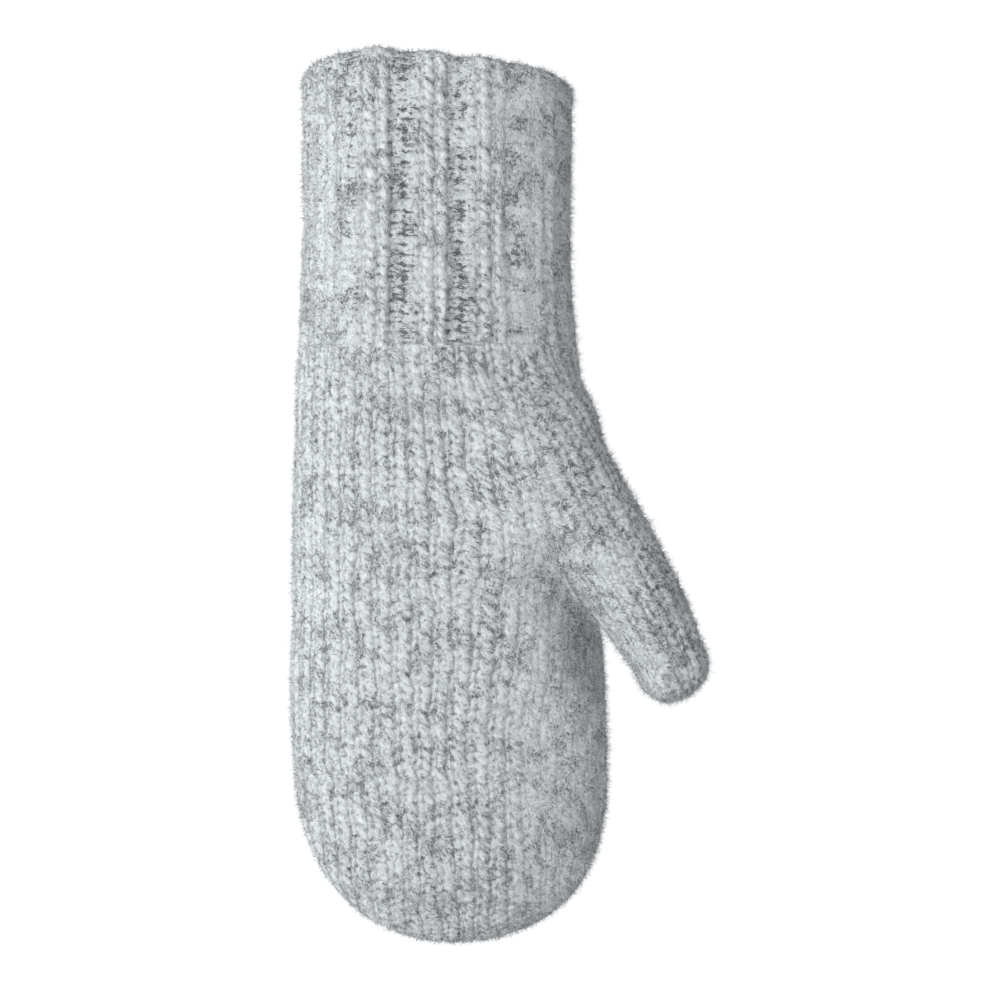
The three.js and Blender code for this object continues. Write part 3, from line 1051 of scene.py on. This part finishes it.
def pipe(name, path, radii, spin, closed):
    # a tube along a path: rings of points, radii[i, k] from it, k turning about it; ends closed to a point
    count, sides = radii.shape
    ahead = unit(np.roll(path, -1, 0) - np.roll(path, 1, 0) if closed else np.gradient(path, axis=0))
    side = unit(np.cross(ahead, spin))
    lift = np.cross(side, ahead)
    turn = np.arange(sides) / sides * 2 * math.pi
    ring = np.cos(turn)[None, :, None] * side[:, None] + np.sin(turn)[None, :, None] * lift[:, None]
    points = path[:, None] + radii[..., None] * ring
    points[..., 2] = np.maximum(points[..., 2], overTable)
    points = points.reshape(-1, 3)
    rings = np.arange(count if closed else count - 1)
    i, k = (a.ravel() for a in np.meshgrid(rings, np.arange(sides), indexing="ij"))
    at = lambda i, k: (i % count) * sides + k % sides
    faces = [np.stack([at(i, k), at(i, k + 1), at(i + 1, k + 1), at(i + 1, k)], 1)]
    k = np.arange(sides)
    rowAlong = (lengthAlong(path) / yarn["rowHeight"])[:, None]
    stitchAll = np.stack(np.broadcast_arrays(k / sides * 2, rowAlong), -1).reshape(-1, 2)
    # how far out each point lies: from it the marl paints shade into the grooves between plies and between
    # the loops of the edge
    depth = ((radii - radii.min()) / max(np.ptp(radii), 1e-9)).ravel()
    if not closed:
        reach = radii.mean(1) * yarn["pointed"]
        points = np.vstack([points, path[0] - ahead[0] * reach[0], path[-1] + ahead[-1] * reach[-1]])
        faces.append(np.stack([np.full(sides, count * sides), at(0, k + 1), at(0, k)], 1))
        faces.append(np.stack([np.full(sides, count * sides + 1), at(count - 1, k), at(count - 1, k + 1)], 1))
        stitchAll = np.vstack([stitchAll, stitchAll[0], stitchAll[-1]])
        depth = np.append(depth, [0.5, 0.5])
    values = {"felt": 0 * depth + yarn["felt"], "depth": depth, "rightLeg": 0 * depth + 0.5}
    piece = meshFrom(name, points, faces, stitchAll, 2, values, yarnWool)
    return piece, points[: count * sides], ring.reshape(-1, 3)


def plied(path, closed):
    # radius of a yarn of three plies twisted together, thinning at a free end
    length = lengthAlong(path)
    turns = length / yarn["twist"]
    if closed:
        wholeTurns = (length[-1] + np.linalg.norm(path[0] - path[-1])) / yarn["twist"]
        turns *= max(1, round(wholeTurns)) / wholeTurns
    turn = np.arange(yarn["sides"]) / yarn["sides"]
    lobes = np.abs(np.cos(math.pi * yarn["plies"] * (turn[None] - turns[:, None])))
    radii = yarn["radius"] * (yarn["thinnest"] + (1 - yarn["thinnest"]) * lobes)
    if not closed:
        least, reach = yarn["frayed"]
        fromEnd = np.minimum(length, length[-1] - length)
        radii *= (least + (1 - least) * smooth(fromEnd, 0, reach))[:, None]
    return radii


def snake(fromY, toY, x, z, swing, turns):
    # a yarn that runs along y and swings from side to side
    t = np.linspace(0, 1, 40 * turns)
    return np.stack([x - swing * np.cos(2 * math.pi * turns * t), fromY + (toY - fromY) * t, z + 0 * t], -1)


def ring(radius, middle, count=96):
    turn = np.arange(count) / count * 2 * math.pi
    return np.array(middle) + radius * np.stack([np.cos(turn), 0 * turn, np.sin(turn)], -1)


def yarnPiece(name, path, spin, closed=False):
    return pipe(name, path, plied(path, closed), spin, closed)[0]


inside = body["wall"] + yarn["radius"] + yarn["clear"]
bodyTip = body["stations"][0][0] + body["wall"]
cuffEnd = snake(0.142, 0.126, -0.014, inside, 0.0022, 2)
tipEnd = snake(-0.076, -0.098, 0.004, inside, 0.0022, 3)
thumbEnd = fromThumb(snake(-0.008, -0.019, 0, -0.0052, 0.0012, 2))
tipLoop = ring(0.0042, (0.003, bodyTip + 0.0032, 0.017))
thumbLoop = fromThumb(ring(0.0027, (0, thumbTip + thumb["wall"] + 0.0026, 0)))
upward, alongBody, alongThumb = np.array([0, 0, 1.0]), np.array([0, 1.0, 0]), thumb["turn"][:, 1]
ends = {
    "cuff_yarn_end": (yarnPiece("cuff_end", cuffEnd, upward), "cuff"),
    "tip_yarn_end": (yarnPiece("tip_end", tipEnd, upward), "fingers"),
    "thumb_yarn_end": (yarnPiece("thumb_end", thumbEnd, upward), "thumb"),
    "tip_drawn_loop": (yarnPiece("tip_loop", tipLoop, alongBody, closed=True), "fingers"),
    "thumb_drawn_loop": (yarnPiece("thumb_loop", thumbLoop, alongThumb, closed=True), "thumb"),
}


def castOnEdge():
    # runs along the middle of the wall and follows the ribs in and out; each of its loops bulges
    reach, gentle = edge["evened"]
    wide = np.arange(-reach, reach + 1)
    weight = np.exp(-((wide / gentle) ** 2))
    rim = sum(w * np.roll(bodyCloth[1], k, 0) for k, w in zip(wide, weight)) / weight.sum()
    innerRim = bodyTube(bodyY[1:2], body["columns"], body["wall"])[0]
    radius = np.linalg.norm(rim - innerRim, axis=1) / 2 + edge["over"]
    loopAt = np.arange(body["columns"]) / body["columns"] * edge["loops"]
    turn = np.arange(edge["sides"]) / edge["sides"]
    phase = loopAt[:, None] + edge["slant"] * np.sin(2 * math.pi * turn)[None]
    bulge = np.sqrt(np.maximum(1 - (2 * (phase - np.floor(phase)) - 1) ** 2, 0))
    least, more = edge["bulge"]
    bulge = bulge * (least + more * chance(np.floor(phase) % edge["loops"], 0 * phase, 51))
    radii = radius[:, None] * (1 - edge["plump"] + edge["plump"] * bulge)
    return pipe("cast_on_loops", (rim + innerRim) / 2, radii, alongBody, closed=True)


edgePiece, edgePoints, edgeNormals = castOnEdge()
print("yarn made:", len(ends) + 1, "pieces")

# the fuzz
fuzz = {
    "longFibres": 3000,  # on each piece; the thumb has fewer
    "shortFibres": 35000,
    "cuffShare": 1.05,
    "fingerShare": 1.05,
    "thumbShare": 0.42,
    "edgeShare": 3.0,  # the cast-on edge has this many times as many to a point
    "shown": -0.0002,  # deeper inside the other tube, the cloth has none
    "longRadius": (0.000026, 0.000045),
    "shortRadius": (0.000042, 0.000078),
    "long": (0.0015, 0.0060),
    "short": (0.0011, 0.0036),
    "stretch": (0, 0.4, 0.75, 1.0),  # the points along a long one
    "taper": (1, 0.9, 0.6),  # and its thickness at all but the last
    "reach": 0.8,  # how far it lies along the cloth, of its length
    "curl": 0.45,  # to either side
    "droop": 0.4,
    "standing": 0.85,  # how much the short ones stand up from the cloth
    "overTable": 0.00005,
    "roughness": 0.8,
    "specular": 0.2,
}


def fibreMaterial():
    material = bpy.data.materials.new("loose fibre")
    material.use_nodes = True
    tree = material.node_tree
    shader = tree.nodes["Principled BSDF"]
    shader.inputs["Roughness"].default_value = fuzz["roughness"]
    shader.inputs["Specular IOR Level"].default_value = fuzz["specular"]
    shade = addNode(tree, "Attribute", attribute_name="depth").outputs["Fac"]
    place = addNode(tree, "TexCoord").outputs["Object"]
    mottle = streaks(tree, place, (1, 1, 1), 900.0, 2.0, 0.5)
    level = calc(tree, "MULTIPLY_ADD", mottle, 0.4, calc(tree, "SUBTRACT", shade, 0.2))
    color = colorMix(tree, ease(tree, level, 0.15, 0.55), (*wool["dark"], 1), (*wool["pale"], 1))
    tree.links.new(color, shader.inputs["Base Color"])
    return material


fibreWool = fibreMaterial()


def corners(path, radius, normal):
    # the three corners of a fibre's section at each point of its path
    ahead = unit(np.gradient(path, axis=1))
    right = unit(np.cross(ahead, normal[:, None] + 0.01))
    up = np.cross(right, ahead)
    turns = [2 * math.pi * k / 3 for k in range(3)]
    return np.stack([path + radius * (math.cos(a) * right + math.sin(a) * up) for a in turns], 2)


def rootShare(cloth):
    # how often each point of a tube's grid roots a fibre: less at a tip, where the columns draw together
    spacing = np.linalg.norm(np.roll(cloth, -1, 1) - cloth, axis=-1).mean(1, keepdims=True)
    return np.broadcast_to(np.minimum(spacing / np.median(spacing), 1), cloth.shape[:2])


def longFibres(root, normal, rng):
    # they lift and curl: a path of four points, three-sided and thinning to a point
    count = len(root)
    along = unit(np.cross(normal, rng.normal(size=(count, 3))))
    sideways = np.cross(normal, along)
    low, high = fuzz["long"]
    length = (low + (high - low) * rng.random(count) ** 2)[:, None]
    lift, droop = rng.random(count)[:, None], rng.random(count)[:, None]
    curl = fuzz["curl"] * rng.normal(size=count)[:, None]
    t = np.array([fuzz["stretch"]])
    forth, aside = fuzz["reach"] * length * t, curl * length * t**2
    up = lift * length * (t - fuzz["droop"] * droop * t**2)
    steps = [(along, forth), (sideways, aside), (normal, up)]
    path = root[:, None] + sum(way[:, None] * amount[..., None] for way, amount in steps)
    radius = rng.uniform(*fuzz["longRadius"], count)[:, None, None] * np.array(fuzz["taper"])[None, :, None]
    rings = corners(path, 0, normal)[:, :3] + (corners(path[:, :3], radius, normal) - path[:, :3, None])
    points = np.concatenate([rings.reshape(count, 9, 3), path[:, 3:]], 1)
    nextSide = (1, 2, 0)
    quads = [[r + k, r + nextSide[k], r + 3 + nextSide[k], r + 3 + k] for r in (0, 3) for k in (0, 1, 2)]
    ends = [[6 + k, 6 + nextSide[k], 9] for k in (0, 1, 2)] + [[0, 2, 1]]
    return points, quads, ends


def shortFibres(root, normal, rng):
    # straight three-sided spikes
    count = len(root)
    way = unit(unit(rng.normal(size=(count, 3))) + fuzz["standing"] * normal)
    low, high = fuzz["short"]
    tip = root + way * (low + (high - low) * rng.random(count) ** 1.5)[:, None]
    radius = rng.uniform(*fuzz["shortRadius"], count)[:, None, None]
    across = unit(np.cross(way, rng.normal(size=(count, 3))))
    base = corners(np.stack([root, tip], 1), radius, across)[:, 0]
    return np.concatenate([base, tip[:, None]], 1), [[0, 1, 3], [1, 2, 3], [2, 0, 3], [0, 2, 1]]


def addFuzz(name, cloth, normals, chances, share, seed):
    # fibres rooted at random in the cloth: a few long ones and many short ones
    rng = np.random.default_rng(seed)
    chances = chances / chances.sum()
    count, shortCount = int(fuzz["longFibres"] * share), int(fuzz["shortFibres"] * share)
    pick = rng.choice(len(cloth), count, p=chances)
    longPoints, quads, ends = longFibres(cloth[pick], normals[pick], rng)
    pick = rng.choice(len(cloth), shortCount, p=chances)
    shortPoints, spikes = shortFibres(cloth[pick], normals[pick], rng)
    first = longPoints.shape[1] * np.arange(count)[:, None, None]
    firstShort = longPoints[..., 0].size + shortPoints.shape[1] * np.arange(shortCount)[:, None, None]
    starts = ((first, quads), (first, ends), (firstShort, spikes))
    faces = [(start + np.array(shape)).reshape(-1, len(shape[0])) for start, shape in starts]
    points = np.vstack([longPoints.reshape(-1, 3), shortPoints.reshape(-1, 3)])
    points[:, 2] = np.maximum(points[:, 2], fuzz["overTable"])
    shades = [np.repeat(rng.random(len(fibres)), fibres.shape[1]) for fibres in (longPoints, shortPoints)]
    depth = {"depth": np.concatenate(shades)}
    return meshFrom(name, points, faces, np.zeros((len(points), 2)), 2, depth, fibreWool)


bodyRoots, thumbRoots = rootShare(bodyCloth), rootShare(thumbCloth)


def bodyFuzz(name, start, end, seed, share=1):
    rows = slice(start, end)
    shown = thumbSide[rows] > fuzz["shown"]
    points, normals, chances = bodyCloth[rows][shown], bodyNormals[rows][shown], bodyRoots[rows][shown]
    if start == 0:  # the cuff's first rows carry the cast-on edge
        points, normals = np.vstack([points, edgePoints]), np.vstack([normals, edgeNormals])
        chances = np.append(chances, np.full(len(edgePoints), fuzz["edgeShare"]))
    return addFuzz(name, points, normals, chances, share, seed)


cuffFuzz = bodyFuzz("cuff_fuzz", 0, handStart, 61, fuzz["cuffShare"])
handFuzz = bodyFuzz("hand_fuzz", handStart, fingerStart, 62)
fingerFuzz = bodyFuzz("finger_fuzz", fingerStart, lastRow, 63, fuzz["fingerShare"])
shown = bodySide > fuzz["shown"]
thumbRooted = thumbCloth[shown], thumbNormals[0][shown], thumbRoots[shown]
thumbFuzz = addFuzz("thumb_fuzz", *thumbRooted, fuzz["thumbShare"], 64)
print("fuzz added")

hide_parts("ribbed_cuff", "wrist_rib", "rib_end")
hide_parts("hand_shell")
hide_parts("finger_pouch", "finger_tip")
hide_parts("thumb_gusset", "thumb_root", "thumb_tube", "thumb_tip")
for piece in (cuffPiece, cuffFuzz):
    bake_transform(piece)
for piece in (handPiece, handFuzz):
    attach(piece, "hand")
for piece in (fingerPiece, fingerFuzz):
    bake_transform(piece)
for piece in (thumbPiece, thumbFuzz):
    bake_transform(piece)
for node, (piece, bodyName) in {**ends, "cast_on_edge": (edgePiece, "cuff")}.items():
    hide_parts(node)
    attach(piece, bodyName)

# stage, light and camera
stage = {
    "frameWidth": 0.3146,  # width seen at the mitten's middle height
    "cameraHeight": 0.90,
    "middle": (0.0157, 0.0190, 0.0235),
    "floorHeight": -0.062,  # below the cuff when the wrist is bent right back
    "floorRadius": 6.0,
    "floorRise": 1.25,  # the floor curves up at its edge, so that it fills a low view too
    "floorBend": (0.5, 1.1),  # from half the radius on
    "floorRings": (0.3, 0.5, 0.6, 0.7, 0.8, 0.9, 1.0),
    "floorShade": 0.12,
    "floorGlow": 0.98,
    "skyLight": 0.30,
    "key": {"place": (-0.52, 0.06, 0.80), "size": 0.35, "power": 9.4},
    "fill": {"place": (0.0, -0.5, 1.3), "size": 1.0, "power": 4.4},
}


def makeStage(sides=96):
    # a wide shallow bowl: rings of points whose height is an eased step of their radius
    rings = np.array(stage["floorRings"])
    turn = np.arange(sides) / sides * 2 * math.pi
    height = stage["floorHeight"] + stage["floorRise"] * smooth(rings, *stage["floorBend"])
    x, y = (stage["floorRadius"] * np.outer(rings, way(turn)) for way in (np.cos, np.sin))
    points = np.stack([x, y, np.broadcast_to(height[:, None], x.shape)], -1).reshape(-1, 3)
    k = np.arange(sides)
    after = (k + 1) % sides
    firsts = sides * np.arange(len(rings) - 1)
    walls = [np.stack([r + k, r + sides + k, r + sides + after, r + after], 1) for r in firsts]
    mesh = bpy.data.meshes.new("floor")
    mesh.from_pydata(points.tolist(), [], [k.tolist()] + np.concatenate(walls).tolist())
    floor = bpy.data.objects.new("floor", mesh)
    bpy.context.scene.collection.objects.link(floor)
    material = bpy.data.materials.new("pale floor")
    material.use_nodes = True
    shader = material.node_tree.nodes["Principled BSDF"]
    shader.inputs["Base Color"].default_value = (*[stage["floorShade"]] * 3, 1)
    shader.inputs["Roughness"].default_value = 0.9
    shader.inputs["Emission Color"].default_value = (1, 1, 1, 1)
    shader.inputs["Emission Strength"].default_value = stage["floorGlow"]
    mesh.materials.append(material)


def makeLight(name, place, size, power):
    # a round soft light that points at the middle of the stage
    light = bpy.data.lights.new(name, "AREA")
    light.shape = "DISK"
    light.size = size
    light.energy = power
    lamp = bpy.data.objects.new(name, light)
    x, y, z = place
    lamp.location = place
    lamp.rotation_euler = (math.atan2(math.hypot(x, y), z), 0, math.atan2(y, x) + math.pi / 2)
    bpy.context.scene.collection.objects.link(lamp)


def makeCamera():
    # straight down on the palm, far enough away for a flat view
    camera = bpy.data.cameras.new("camera")
    camera.lens = camera.sensor_width * stage["cameraHeight"] / stage["frameWidth"]
    holder = bpy.data.objects.new("camera", camera)
    x, y, z = stage["middle"]
    holder.location = (x, y, z + stage["cameraHeight"])
    bpy.context.scene.collection.objects.link(holder)
    bpy.context.scene.camera = holder


makeStage()
makeLight("key", **stage["key"])
makeLight("fill", **stage["fill"])
world = bpy.data.worlds.new("studio")
bpy.context.scene.world = world
world.use_nodes = True
world.node_tree.nodes["Background"].inputs["Color"].default_value = (1, 1, 1, 1)
world.node_tree.nodes["Background"].inputs["Strength"].default_value = stage["skyLight"]
bpy.context.scene.view_settings.view_transform = "Standard"
makeCamera()
print("stage set")
